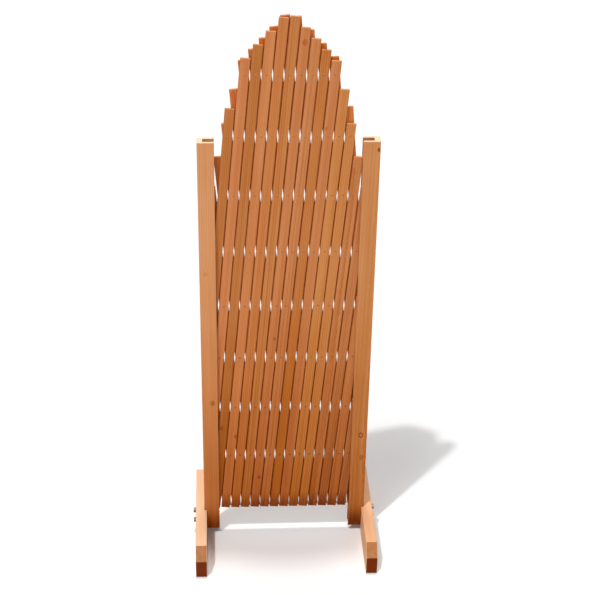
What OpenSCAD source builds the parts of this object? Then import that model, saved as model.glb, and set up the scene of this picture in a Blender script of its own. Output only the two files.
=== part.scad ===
// Expanding lattice fence panel: two layers of laths on rivets, held between two grooved
// posts that stand on feet. Drawn folded. X runs along the panel, Y from front to back,
// Z up, and the origin is on the ground, under the middle of the folded panel.

/* [Laths] */
// Width of a lath
lath_w = 18; // [14:1:22]
// Thickness of a lath
lath_t = 5; // [4:0.5:7]
// Distance from one rivet to the next along a lath
rivet_pitch = 122; // [110:1:150]
// Gap between neighbouring laths of one layer when the panel is folded
folded_gap = 2.5; // [2:0.5:10]
// Play between the front layer and the back layer
layer_gap = 0.3; // [0.2:0.1:0.6]
// Length of lath left below its lowest rivet
tail_l = 17; // [14:1:30]
// Corner sawn off a lath end that runs in a post's groove
groove_end_cut = 13; // [10:1:16]
// Least length of lath left above its highest rivet
end_margin = 9; // [8:1:14]

/* [Lattice] */
// Diamonds across the panel
diamonds = 14; // [8:1:14]
// Height of the crown's peak above the lowest rivets
crown_peak = 1094; // [1060:2:1120]
// Height of the crown, from where it meets the posts up to its peak
crown_rise = 348; // [330:2:400]
// Drop from the peak to the shoulders, where the crown turns steeper
shoulder_drop = 100; // [80:2:120]
// Distance of a shoulder from the middle, as a share of half the lattice's width
shoulder_share = 0.62; // [0.5:0.01:0.7]
// Height of the lowest rivets above the ground
low_rivet_z = 80; // [70:1:100]

/* [Rivets] */
// Diameter of a rivet's shank
rivet_d = 3; // [2:0.5:4]
// Diameter of the flat head on the back
rivet_head_d = 6; // [5:0.5:8]
// Thickness of the flat head
rivet_head_t = 0.7; // [0.5:0.1:1]
// Diameter of the closed end on the front
rivet_tip_d = 4.4; // [4.2:0.1:6]
// Height of the closed end on the front
rivet_tip_t = 0.5; // [0.4:0.1:1]
// Running clearance round a shank, on the radius
running_fit = 0.05; // [0.03:0.01:0.1]
// Play under a head that a lath turns against
head_play = 0.1; // [0.1:0.05:0.2]

/* [Posts] */
// Width of a post along the panel
post_w = 32; // [30:1:40]
// Depth of a post from front to back
post_d = 24; // [22:1:30]
// Length of a post
post_l = 910; // [850:10:1000]
// Height of a post's lower end above the ground
post_lift = 13; // [5:1:20]
// Play between the lattice with its rivets and each wall of the groove
groove_play = 0.65; // [0.4:0.05:1]
// Depth of the groove, from the post's inner face
groove_depth = 21; // [20:1:22]
// Distance from a post's inner face to the pin that holds the lattice
pin_inset = 6; // [6:0.5:7]
// Width of the chamfer along a post's edges
post_chamfer = 1; // [0.5:0.5:2]
// Width of the chamfer along the groove's lips
lip_chamfer = 0.6; // [0.2:0.1:1]

/* [Pins] */
// Diameter of the pin through a post and the lowest corner of the lattice
pin_d = 5; // [4:0.5:6]
// Diameter of the pin's head, on the back of the post
pin_head_d = 10; // [9:1:12]
// Thickness of the pin's head
pin_head_t = 2; // [1:0.5:3]
// Length of the pin's tip in the front wall of the post
pin_seat = 3.5; // [2:0.5:4]
// Outer diameter of the sleeve that fills the missing lath's place
sleeve_d = 10; // [9:0.5:12]

/* [Feet] */
// Length of a foot from front to back
foot_l = 304; // [240:2:360]
// Height of a foot
foot_h = 64; // [56:1:75]
// Thickness of a foot
foot_t = 23; // [18:1:30]
// Size of the slope sawn on a foot's upper ends
foot_bevel = 25; // [15:1:35]
// Depth of the housing cut in a foot for its post
housing_depth = 5; // [3:1:8]
// Side play of the post in its housing
housing_play = 0.1; // [0.05:0.05:0.3]
// Width of the chamfer along a foot's long edges
foot_chamfer = 1.2; // [0.5:0.1:2]

/* [Foot screws] */
// Diameter of a screw's shank
screw_d = 6; // [5:0.5:7]
// Size of the hexagon head across its flats
screw_head_af = 10; // [8:1:12]
// Height of the hexagon head
screw_head_h = 4; // [3:0.5:5]
// Diameter of the flange under the head
screw_flange_d = 13; // [13:1:18]
// Thickness of the flange under the head
screw_flange_t = 1.2; // [0.8:0.2:2]
// Length of the screw in the post
screw_grip = 9; // [7:0.5:9]
// Distance from a foot's top to the upper screw
screw_drop = 10; // [9:1:14]
// Distance from the upper screw to the lower one
screw_spacing = 26; // [20:1:30]
// Clearance round a screw in the foot, on the radius
screw_clearance = 0.2; // [0.1:0.1:0.5]

/* [Hidden] */
$fn = 48;
// Depth of blind holes past the tip that they hold, and of cuts past a face
blind_end = 0.3;
past_face = 1;

// A lath leans by this angle from the upright when the panel is folded
fold_angle = asin((lath_w + folded_gap) / rivet_pitch) / 2;
col_step = rivet_pitch * sin(fold_angle);
row_step = rivet_pitch * cos(fold_angle);
columns = 2 * diamonds;

// The crown in rivet rows over rivet columns from the middle: a gentle slope falls from the
// peak to a shoulder on each side, and a steep one from there to the post. The steep ones
// would meet over the middle in steep_row. Each line is a row over the middle and a slope.
peak_row = crown_peak / row_step;
spring_row = (crown_peak - crown_rise) / row_step;
shoulder_row = (crown_peak - shoulder_drop) / row_step;
shoulder_col = diamonds * shoulder_share;
gentle = (peak_row - shoulder_row) / shoulder_col;
steep = (shoulder_row - spring_row) / (diamonds - shoulder_col);
steep_row = shoulder_row + steep * shoulder_col;
crown_lines = [[peak_row, gentle], [peak_row, -gentle], [steep_row, steep], [steep_row, -steep]];

// The last whole row below the peak, and how many laths of each layer start on a post,
// a row or more below the crown's foot, instead of on the lowest row
rivet_rows = floor(peak_row);
side_laths = floor((spring_row - 1) / 2);

// Y from the middle of the panel to a layer's near face, middle and far face
layer_in = layer_gap / 2;
layer_mid = layer_in + lath_t / 2;
layer_out = layer_in + lath_t;

groove_w = 2 * (layer_out + max(rivet_tip_t, head_play + rivet_head_t) + groove_play);
// X from the middle of the panel to a post's outer face, inner face and groove bottom
post_out = diamonds * col_step + post_w - pin_inset;
post_in = post_out - post_w;
groove_x = post_in + groove_depth;
foot_in = post_out - housing_depth;
foot_out = foot_in + foot_t;

lath_count = diamonds + side_laths;
numbers = [for (n = [1:lath_count]) n];

function two_digits(n) = n < 10 ? str("0", n) : str(n);
function node_name(stem, n) = str(stem, "_", two_digits(n));

wood = [0.76, 0.47, 0.27];
wood_behind = [0.66, 0.37, 0.19];
wood_foot = [0.70, 0.42, 0.24];
steel = [0.62, 0.62, 0.60];
dark_steel = [0.45, 0.44, 0.42];

// A rivet is known by its column and row: columns count from the left post's pin, rows
// from the lowest rivets. Front lath n runs up to the right from column start_col(n) of
// row 0, or would if it went down so far. Back lath n is its mirror image.
function start_col(n) = 2 * (n - side_laths - 1);
function first_row(n) = max(0, -start_col(n));

function col_x(col) = (col - diamonds) * col_step;
function row_z(row) = low_rivet_z + row * row_step;

// Row at which lath n meets the crown: the first of its four lines that the lath comes to
function crown_row(n) =
    min([for (line = crown_lines)
        (line[0] + line[1] * (diamonds - start_col(n))) / (1 + line[1])]);

function edge_row(n) = columns - start_col(n);
function ends_in_groove(n) = edge_row(n) <= crown_row(n);
function last_row(n) = min(edge_row(n), crown_row(n));

// The back lath that crosses front lath n in a row, and whether both reach that far
function partner(n, row) = diamonds - start_col(n) / 2 - row + side_laths + 1;
function reaches(n, row) =
    row >= first_row(n) &&
    (ends_in_groove(n) ? row <= last_row(n)
                       : row <= last_row(n) - end_margin / rivet_pitch);
function crosses(n, row) =
    partner(n, row) >= 1 && partner(n, row) <= lath_count &&
    reaches(n, row) && reaches(partner(n, row), row);
function rivet_rows_on(n) = [for (row = [0:rivet_rows]) if (crosses(n, row)) row];

// Two or three corners of a lath's end, with the one towards a post sawn off in a groove
function cut_end(width, end, outer, sawn) =
    sawn ? [[-outer * width / 2, end],
            [outer * (width / 2 - groove_end_cut), end],
            [outer * width / 2, end - sign(end) * groove_end_cut]]
         : [[-outer * width / 2, end], [outer * width / 2, end]];
function reversed(list) = [for (k = [len(list) - 1:-1:0]) list[k]];

// Lath n of the front layer, centred on Y = 0, with its rivet holes
module lath(n) {
    low = first_row(n);
    starts_in_groove = start_col(n) <= 0;
    rise = (last_row(n) - low) * rivet_pitch;
    top = ends_in_groove(n) ? rise + tail_l : rise;
    translate([col_x(start_col(n) + low), 0, row_z(low)])
        rotate([0, fold_angle, 0])
            difference() {
                rotate([90, 0, 0])
                    linear_extrude(height = lath_t, center = true)
                        polygon(concat(
                            reversed(cut_end(lath_w, -tail_l, -1, starts_in_groove)),
                            reversed(cut_end(lath_w, top, 1, ends_in_groove(n)))
                        ));
                for (row = rivet_rows_on(n))
                    translate([0, 0, (row - low) * rivet_pitch])
                        cross_hole(rivet_d, lath_t);
                if (start_col(n) == 0)
                    cross_hole(pin_d, lath_t);
            }
}

// Hole along Y for a shank of diameter d, through a thickness t centred on Y = 0
module cross_hole(d, t) {
    rotate([90, 0, 0])
        cylinder(d = d + 2 * running_fit, h = t + 2 * past_face, center = true);
}

module front_lath(n) {
    color(wood)
        translate([0, -layer_mid, 0])
            lath(n);
}

module back_lath(n) {
    color(wood_behind)
        translate([0, layer_mid, 0])
            mirror([1, 0, 0])
                lath(n);
}

// One rivet along Y: closed end on the front face, flat head behind the back lath
module rivet() {
    front = -layer_out;
    back = layer_out + head_play;
    rotate([-90, 0, 0])
        rotate_extrude()
            polygon([
                [0, front - rivet_tip_t],
                [rivet_tip_d / 2 - rivet_tip_t / 2, front - rivet_tip_t],
                [rivet_tip_d / 2, front - rivet_tip_t / 2],
                [rivet_tip_d / 2, front],
                [rivet_d / 2, front],
                [rivet_d / 2, back],
                [rivet_head_d / 2, back],
                [rivet_head_d / 2, back + rivet_head_t / 2],
                [rivet_head_d / 2 - rivet_head_t / 2, back + rivet_head_t],
                [0, back + rivet_head_t]
            ]);
}

// The rivets set in front lath n
module rivets(n) {
    color(dark_steel)
        for (row = rivet_rows_on(n))
            translate([col_x(start_col(n) + row), 0, row_z(row)])
                rivet();
}

// Section of the right post, seen from above, with its groove open inwards
module post_section() {
    half_d = post_d / 2;
    half_g = groove_w / 2;
    polygon([
        [post_in + post_chamfer, -half_d],
        [post_out - post_chamfer, -half_d],
        [post_out, -half_d + post_chamfer],
        [post_out, half_d - post_chamfer],
        [post_out - post_chamfer, half_d],
        [post_in + post_chamfer, half_d],
        [post_in, half_d - post_chamfer],
        [post_in, half_g + lip_chamfer],
        [post_in + lip_chamfer, half_g],
        [groove_x, half_g],
        [groove_x, -half_g],
        [post_in + lip_chamfer, -half_g],
        [post_in, -half_g - lip_chamfer],
        [post_in, -half_d + post_chamfer]
    ]);
}

// Holes along X for the two screws of the right foot, from x0 to x1
module screw_holes(d, x0, x1) {
    for (drop = [screw_drop, screw_drop + screw_spacing])
        translate([x0, 0, foot_h - drop])
            rotate([0, 90, 0])
                cylinder(d = d, h = x1 - x0);
}

module post() {
    color(wood)
        difference() {
            translate([0, 0, post_lift])
                linear_extrude(height = post_l)
                    post_section();
            translate([col_x(columns), post_d / 2 + past_face, row_z(0)])
                rotate([90, 0, 0])
                    cylinder(d = pin_d + 2 * running_fit,
                             h = post_d / 2 + past_face + groove_w / 2 + pin_seat + blind_end);
            screw_holes(screw_d + 2 * running_fit, post_out - screw_grip - blind_end,
                        post_out + past_face);
        }
}

// Slab of a foot between x0 and x1, with both upper ends sloped
module foot_slab(x0, x1) {
    half = foot_l / 2;
    shoulder = foot_h - foot_bevel;
    translate([x0, 0, 0])
        rotate([90, 0, 90])
            linear_extrude(height = x1 - x0)
                polygon([
                    [-half, 0], [half, 0], [half, shoulder], [half - foot_bevel, foot_h],
                    [-half + foot_bevel, foot_h], [-half, shoulder]
                ]);
}

module foot() {
    color(wood_foot)
        difference() {
            foot_body();
            translate([foot_in - past_face, -post_d / 2 - housing_play, -past_face])
                cube([housing_depth + past_face, post_d + 2 * housing_play,
                      foot_h + 2 * past_face]);
            screw_holes(screw_d + 2 * screw_clearance, post_out - past_face,
                        foot_out + past_face);
        }
}

// A foot's block with its two long top edges chamfered
module foot_body() {
    intersection() {
        foot_slab(foot_in, foot_out);
        rotate([90, 0, 0])
            linear_extrude(height = foot_l, center = true)
                polygon([
                    [foot_in, 0],
                    [foot_out, 0],
                    [foot_out, foot_h - foot_chamfer],
                    [foot_out - foot_chamfer, foot_h],
                    [foot_in + foot_chamfer, foot_h],
                    [foot_in, foot_h - foot_chamfer]
                ]);
    }
}

// Two screws that hold the right foot to its post, heads outside
module foot_screws() {
    color(steel)
        for (drop = [screw_drop, screw_drop + screw_spacing])
            translate([foot_out, 0, foot_h - drop])
                rotate([0, 90, 0]) {
                    translate([0, 0, -(foot_out - post_out) - screw_grip])
                        cylinder(d = screw_d, h = foot_out - post_out + screw_grip);
                    cylinder(d = screw_flange_d, h = screw_flange_t);
                    translate([0, 0, screw_flange_t])
                        cylinder(d = screw_head_af / cos(30), h = screw_head_h, $fn = 6);
                }
}

// Pin of the right post, from its head on the back to its tip in the front wall
module pin() {
    tip = -groove_w / 2 - pin_seat;
    color(steel)
        translate([col_x(columns), 0, row_z(0)])
            rotate([-90, 0, 0])
                rotate_extrude()
                    polygon([
                        [0, tip],
                        [pin_d / 2, tip],
                        [pin_d / 2, post_d / 2],
                        [pin_head_d / 2, post_d / 2],
                        [pin_head_d / 2, post_d / 2 + pin_head_t / 2],
                        [pin_head_d / 2 - pin_head_t / 2, post_d / 2 + pin_head_t],
                        [0, post_d / 2 + pin_head_t]
                    ]);
}

// Sleeve on a pin, between the one lath there and the groove's wall on the given side
module sleeve(side) {
    inner = -layer_in;
    outer = groove_w / 2;
    length = outer - inner - head_play;
    color(dark_steel)
        translate([col_x(columns), side * (inner + head_play / 2 + length / 2), row_z(0)])
            rotate([90, 0, 0])
                difference() {
                    cylinder(d = sleeve_d, h = length, center = true);
                    cylinder(d = pin_d + 2 * running_fit, h = length + 2 * past_face,
                             center = true);
                }
}

module left() {
    mirror([1, 0, 0])
        children();
}

left() post();  // left_post
left() foot();  // left_foot
left() foot_screws();  // left_foot_screws
left() pin();  // left_pin
left() sleeve(1);  // left_pin_sleeve
post();  // right_post
foot();  // right_foot
foot_screws();  // right_foot_screws
pin();  // right_pin
sleeve(-1);  // right_pin_sleeve
for (n = numbers) {
    front_lath(n);
    back_lath(n);
    rivets(n);
}
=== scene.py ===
# %% [markdown]
# # A lattice fence panel
# This is a folding garden screen. Two layers of narrow stained laths cross over each other, and a small
# rivet at each crossing lets the whole lattice open and close like tongs. Its outer ends slide in the
# grooves of two posts, and each post stands on a long low foot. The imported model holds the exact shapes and
# how they move. This lesson lays sawn, stained wood and dull metal over them, piece by piece.

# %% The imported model
import math

import bmesh
import bpy
import numpy as np
from mathutils import Matrix, Vector
from mathutils.geometry import convex_hull_2d


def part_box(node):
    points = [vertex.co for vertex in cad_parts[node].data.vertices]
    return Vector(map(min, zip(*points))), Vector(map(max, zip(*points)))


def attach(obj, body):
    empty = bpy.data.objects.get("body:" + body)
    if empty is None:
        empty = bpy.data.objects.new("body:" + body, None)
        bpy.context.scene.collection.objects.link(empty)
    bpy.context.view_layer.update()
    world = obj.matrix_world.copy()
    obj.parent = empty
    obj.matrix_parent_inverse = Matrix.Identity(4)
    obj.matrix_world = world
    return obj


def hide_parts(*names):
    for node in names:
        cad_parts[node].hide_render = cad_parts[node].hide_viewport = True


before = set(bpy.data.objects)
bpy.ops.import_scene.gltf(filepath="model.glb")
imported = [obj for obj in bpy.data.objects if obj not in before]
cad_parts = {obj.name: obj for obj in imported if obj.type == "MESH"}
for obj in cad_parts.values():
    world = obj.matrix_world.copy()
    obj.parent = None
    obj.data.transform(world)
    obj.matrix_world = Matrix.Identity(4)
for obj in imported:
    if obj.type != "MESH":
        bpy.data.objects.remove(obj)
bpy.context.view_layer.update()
scene = bpy.context.scene

# %% [markdown]
# ## Camera
# A screen like this is pictured from a little above head height, looking down on it by about 31 degrees. A
# camera can be aimed with a Track To constraint, but a view that is known by its angles is exact when its
# matrix is written out: one column for right, one for up, and one that points back from the view.

# %% The camera
IMAGE_SIDE = 595                 # the picture is square, in pixels
FOCAL_LENGTH = 1492.3            # the same unit
SENSOR_WIDTH = 36.0              # mm
EYE = Vector((-0.12797, -2.50141, 2.09968))
PITCH, YAW, ROLL = 0.5446, 0.0596, -0.0175      # radians


def view_matrix(eye, pitch, yaw, roll):
    """The matrix of a camera at eye that looks down by pitch, right by yaw, and is tipped by roll."""
    ahead = Vector((math.sin(yaw) * math.cos(pitch), math.cos(yaw) * math.cos(pitch), -math.sin(pitch)))
    level = Vector((math.cos(yaw), -math.sin(yaw), 0))
    below = ahead.cross(level)
    right = level * math.cos(roll) + below * math.sin(roll)
    down = below * math.cos(roll) - level * math.sin(roll)
    matrix = Matrix((right, -down, -ahead)).transposed().to_4x4()
    matrix.translation = eye
    return matrix


camera = bpy.data.objects.new("camera", bpy.data.cameras.new("camera"))
scene.collection.objects.link(camera)
camera.data.sensor_width = SENSOR_WIDTH
camera.data.lens = SENSOR_WIDTH * FOCAL_LENGTH / IMAGE_SIDE
camera.matrix_world = view_matrix(EYE, PITCH, YAW, ROLL)
scene.camera = camera
print("lens in mm:", round(camera.data.lens, 1))

# %% [markdown]
# ## Where the laths and rivets are
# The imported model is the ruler. Each rivet sits on the middle line of its lath, so the first and last rivet
# of a long lath give the angle at which all of them lean. A lath is flat, so the corners of its outline are
# the corners of a band stretched round its points.

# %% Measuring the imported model
MIDDLE_LATH = "rivets_05"
RIVET_APART = 0.02               # two points further apart in height belong to two rivets
SAME_CORNER = 0.0002


def points_of(node):
    """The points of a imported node, one row each."""
    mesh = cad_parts[node].data
    flat = np.empty(3 * len(mesh.vertices), np.float32)
    mesh.vertices.foreach_get("co", flat)
    return flat.reshape(-1, 3).astype(float)


def places_of(node, apart):
    """The centres of the small parts that one node holds, from the lowest up."""
    points = points_of(node)
    points = points[np.argsort(points[:, 2])]
    breaks = np.flatnonzero(np.diff(points[:, 2]) > apart) + 1
    return [Vector((part.min(0) + part.max(0)) / 2) for part in np.split(points, breaks)]


def corners_of(flat):
    """The corners of the band round flat points, without the ones that fall together."""
    kept = []
    for index in convex_hull_2d([tuple(point) for point in flat]):
        if all(np.abs(flat[index] - corner).max() > SAME_CORNER for corner in kept):
            kept.append(flat[index])
    return kept


rivet_line = places_of(MIDDLE_LATH, RIVET_APART)
lean = math.atan2(rivet_line[-1].x - rivet_line[0].x, rivet_line[-1].z - rivet_line[0].z)
lath_nodes = sorted(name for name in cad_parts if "_lath_" in name)
rivet_nodes = sorted(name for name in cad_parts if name.startswith("rivets_"))
print(len(lath_nodes), "laths lean by", round(math.degrees(lean), 2), "degrees,",
      sum(len(places_of(node, RIVET_APART)) for node in rivet_nodes), "rivets")

# %% [markdown]
# ## Small helpers
# Shader trees and Geometry Nodes trees are both lists of nodes joined by links, so one helper can add a
# node to either. It fills a socket with a number, or links another node's socket to it.

# %% Nodes and objects
def add_node(tree, kind, inputs=None, **settings):
    """Adds a node to a tree, with its settings, and fills or links its inputs."""
    made = tree.nodes.new(kind)
    for name, value in settings.items():
        setattr(made, name, value)
    for socket, value in (inputs or {}).items():
        if isinstance(value, bpy.types.NodeSocket):
            tree.links.new(value, made.inputs[socket])
        else:
            made.inputs[socket].default_value = value
    return made


def math_node(tree, operation, *values):
    """The result of a sum on numbers or on sockets that give them."""
    return add_node(tree, "ShaderNodeMath", dict(enumerate(values)), operation=operation).outputs[0]


def times(tree, value, factor):
    return math_node(tree, "MULTIPLY", value, factor)


def minus(tree, value, less):
    return math_node(tree, "SUBTRACT", value, less)


def total(tree, *values):
    """The sum of several sockets or numbers."""
    running = values[0]
    for value in values[1:]:
        running = math_node(tree, "ADD", running, value)
    return running


def vector_node(tree, operation, *values):
    """The result of a sum on vectors."""
    return add_node(tree, "ShaderNodeVectorMath", dict(enumerate(values)), operation=operation).outputs[0]


def map_range(tree, value, results, limits=(0.0, 1.0), smooth=False):
    """Turns a value between two limits into a number between two results, which it never leaves."""
    return add_node(tree, "ShaderNodeMapRange", dict(enumerate((value, *limits, *results))),
                    interpolation_type="SMOOTHSTEP" if smooth else "LINEAR").outputs[0]


def noise(tree, place, scale, detail):
    """A noise pattern: its value, and a colour of three more."""
    return add_node(tree, "ShaderNodeTexNoise", {"Vector": place, "Scale": scale, "Detail": detail}).outputs


def new_piece(name, vertices, faces=()):
    """A mesh object at the origin, with its place in its mesh."""
    mesh = bpy.data.meshes.new(name)
    mesh.from_pydata([tuple(vertex) for vertex in vertices], [], [list(face) for face in faces])
    piece = bpy.data.objects.new(name, mesh)
    scene.collection.objects.link(piece)
    return piece


# %% [markdown]
# A modifier's result is only a preview until it is written into the mesh. The next helpers do that, turn
# every face outwards, and write on each board where its points lie along and across the grain. That last
# step lets one wood finish follow every board, whichever way it leans.

# %% Finishing a mesh
WORN_EDGE_GAIN = 6.0             # a face turned 34 degrees off its board's sides counts as fully worn
SIDE_SHELTER = 0.5               # how sheltered a board's narrow side is, beside its inner face
SMOOTH_BELOW = math.radians(40)  # a corner that turns by more stays sharp


def plain_mesh(piece):
    """Writes what the modifiers make into the piece's own mesh, with all faces outwards."""
    seen = bpy.context.evaluated_depsgraph_get()
    made = bpy.data.meshes.new_from_object(piece.evaluated_get(seen))
    piece.modifiers.clear()
    piece.data = made
    shell = bmesh.new()
    shell.from_mesh(made)
    bmesh.ops.recalc_face_normals(shell, faces=shell.faces)
    open_edges = sum(not edge.is_manifold for edge in shell.edges)
    shell.to_mesh(made)
    shell.free()
    if open_edges:
        print(piece.name, "has", open_edges, "open edges")


def round_shading(piece):
    """Smooth shading, with the corners of a turned part kept sharp."""
    piece.data.shade_smooth()
    piece.data.set_sharp_from_angle(angle=SMOOTH_BELOW)


def write_values(mesh, name, kind, domain, field, values):
    """Stores values on a mesh as an attribute that a material can read."""
    mesh.attributes.new(name, kind, domain).data.foreach_set(field, np.asarray(values, np.float32).ravel())


def mark_board(piece, number, origin, across, along, inwards=(0, 0, 0)):
    """Writes each point's place on its board in metres, and which faces are end grain, worn or sheltered."""
    mesh = piece.data
    axes = np.array((across, np.cross(along, across), along), float)
    points = np.empty(3 * len(mesh.vertices), np.float32)
    mesh.vertices.foreach_get("co", points)
    normals = np.empty(3 * len(mesh.polygons), np.float32)
    mesh.polygons.foreach_get("normal", normals)
    normals = normals.reshape(-1, 3)
    facing = np.abs(normals @ axes.T)
    write_values(mesh, "board", "FLOAT_VECTOR", "POINT", "vector", (points.reshape(-1, 3) - origin) @ axes.T)
    write_values(mesh, "board_number", "FLOAT", "POINT", "value", np.full(len(mesh.vertices), number))
    write_values(mesh, "end_grain", "FLOAT", "FACE", "value", facing[:, 2])
    write_values(mesh, "worn_edge", "FLOAT", "FACE", "value",
                 np.clip(WORN_EDGE_GAIN * (1 - facing.max(1)), 0, 1))
    write_values(mesh, "sheltered", "FLOAT", "FACE", "value",
                 np.clip(normals @ np.array(inwards, float), 0, 1) + SIDE_SHELTER * facing[:, 0])


# %% [markdown]
# ## Stained softwood
# The real wood is fir or pine, dipped in a thin orange-brown stain. It could be one brown with a little
# noise, but then every board would look alike. So the pattern is built as a tree grows: rings round a pith
# that lies somewhere beside the board, drawn out along it, with fine fibres over them. All of it adds up to
# one number, how dark the board looks, which is mostly stain but also holds some painted shade and light, and
# a colour ramp turns that number into a colour.

# %% Sizes of the grain
RING_SPACING = 0.0026            # metres between two growth rings
PITH_SPREAD = 0.12               # how far to either side a board's pith may lie
PITH_DEPTH = (0.03, 0.05)        # least distance behind the board, and how much more it may be
RUN_OUT = 0.03                   # sideways drift of the grain per metre
GRAIN_WARP = 0.005               # metres, of which the slow bends push the rings up to half to either side
FIBRES = (650.0, 650.0, 9.0)     # noise cells per metre across, through and along the board
STREAKS = (120.0, 120.0, 2.0)
SLOW_BENDS = (22.0, 22.0, 1.8)
BOARD_STEP = 3.71                # moves the noise on from one board to the next


def from_srgb(red, green, blue):
    """A colour of the screen, 0 to 255, as the light it stands for."""
    shares = [value / 255 for value in (red, green, blue)]
    return tuple(s / 12.92 if s <= 0.04045 else ((s + 0.055) / 1.055) ** 2.4 for s in shares) + (1.0,)


STAIN_STOPS = (
    (0.00, from_srgb(238, 206, 174)),
    (0.16, from_srgb(222, 178, 142)),
    (0.36, from_srgb(214, 147, 98)),
    (0.56, from_srgb(196, 122, 70)),
    (0.78, from_srgb(168, 90, 34)),
    (1.00, from_srgb(115, 43, 2)),
)

# %% [markdown]
# A knot is where a branch left the trunk: a dark heart, a rim that is darker still or the only dark part,
# and grain that bends round it. It could be painted into an image, but distances to its centre are enough:
# each part of it fades in and out at its own distance, counted in radii of the knot.

# %% A knot
KNOT_SQUEEZE = 0.7               # a distance along the board counts for less, which draws the knot out
HEART_FADE = (1.15, 0.6)         # where the heart starts and where it is darkest
RIM_AT, RIM_HALF = 0.95, 0.3     # middle of the rim, and how far it reaches to both sides
PUSH_FADE = (3.5, 0.6)           # where the grain starts to bend and where it bends most
PUSH_MOST = 0.7


def knot_at(tree, off_across, off_along, radius, heart, rim_depth):
    """A knot from the distances to its centre: how dark it is, and how far it pushes the grain aside."""
    oval = times(tree, off_along, KNOT_SQUEEZE)
    squares = total(tree, times(tree, off_across, off_across), times(tree, oval, oval))
    away = math_node(tree, "DIVIDE", math_node(tree, "SQRT", squares), radius)
    inside = map_range(tree, away, (0.0, heart), HEART_FADE, smooth=True)
    rim = math_node(tree, "ABSOLUTE", minus(tree, away, RIM_AT))
    rim = map_range(tree, rim, (0.0, rim_depth), (RIM_HALF, 0.0))
    near = map_range(tree, away, (0.0, PUSH_MOST), PUSH_FADE, smooth=True)
    return total(tree, inside, rim), times(tree, off_across, near)


# %% [markdown]
# The laths get a few faint knots, scattered by a one-dimensional Voronoi pattern along their length. The
# posts get theirs at set places, because there are only a handful and they are easy to see.

# %% Knots on laths and posts
LATH_KNOTS_APART = 0.34          # mean distance along a lath between two places for a knot
LATH_KNOT_SCATTER = 0.8          # how unevenly those places lie
LATH_KNOT_LIMIT = 0.75           # a place whose own number, 0 to 1, is above this has its knot
LATH_KNOT_ASIDE = (-0.007, 0.007)        # metres to either side of the lath's middle line
LATH_KNOT_RADIUS = (0.0024, 0.0052)
LATH_KNOT_HEART, LATH_KNOT_RIM = 0.15, 0.07
SAME_NUMBER = 0.1                # two board numbers closer than this are the same board's


def scattered_knots(tree, across, along, number):
    """One possible knot in each stretch of a lath, of which about one in four is really there."""
    stretch = math_node(tree, "MULTIPLY_ADD", along, 1 / LATH_KNOTS_APART, times(tree, number, BOARD_STEP))
    cell = add_node(tree, "ShaderNodeTexVoronoi",
                    {"W": stretch, "Scale": 1.0, "Randomness": LATH_KNOT_SCATTER}, voronoi_dimensions="1D")
    off_along = times(tree, minus(tree, stretch, cell.outputs["W"]), LATH_KNOTS_APART)
    chances = add_node(tree, "ShaderNodeSeparateColor", {0: cell.outputs["Color"]}).outputs
    centre = map_range(tree, chances[0], LATH_KNOT_ASIDE)
    radius = map_range(tree, chances[1], LATH_KNOT_RADIUS)
    there = math_node(tree, "GREATER_THAN", chances[2], LATH_KNOT_LIMIT)
    dark, push = knot_at(tree, minus(tree, across, centre), off_along, radius, LATH_KNOT_HEART, LATH_KNOT_RIM)
    return times(tree, dark, there), times(tree, push, there)


def placed_knots(tree, across, along, number, knots):
    """Knots at set places: board number, across, along and radius in metres, darkness of heart and rim."""
    dark_sum, push_sum = 0.0, 0.0
    for board, knot_across, knot_along, radius, heart, rim_depth in knots:
        here = math_node(tree, "COMPARE", number, board, SAME_NUMBER)
        dark, push = knot_at(tree, minus(tree, across, knot_across), minus(tree, along, knot_along),
                             radius, heart, rim_depth)
        dark_sum = math_node(tree, "MULTIPLY_ADD", dark, here, dark_sum)
        push_sum = math_node(tree, "MULTIPLY_ADD", push, here, push_sum)
    return dark_sum, push_sum


# %% [markdown]
# The grain comes next. Each board's number drives a white noise node, and its three values place the pith
# and tilt the grain. The Wave texture draws the rings, with a saw profile because a ring darkens slowly
# through the summer and stops sharply in winter.

# %% The grain of one board
WAVE_FACTOR = 20                 # the Wave texture multiplies its scale by this
RING_WAVER, RING_WAVER_SCALE = 1.4, 0.6  # how far the rings waver, and how often
LATE_WOOD_POWER = 2.0            # a higher power makes the dark part of a ring narrower


def attribute(tree, name, output):
    """What a board's mesh says about itself, as mark_board wrote it."""
    return add_node(tree, "ShaderNodeAttribute", attribute_name=name).outputs[output]


def stretched_noise(tree, board, number, cells, detail):
    """Noise drawn out along a board, different on each board."""
    shifted = vector_node(tree, "ADD", vector_node(tree, "MULTIPLY", board, cells),
                          times(tree, number, BOARD_STEP))
    return noise(tree, shifted, 1.0, detail)


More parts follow.
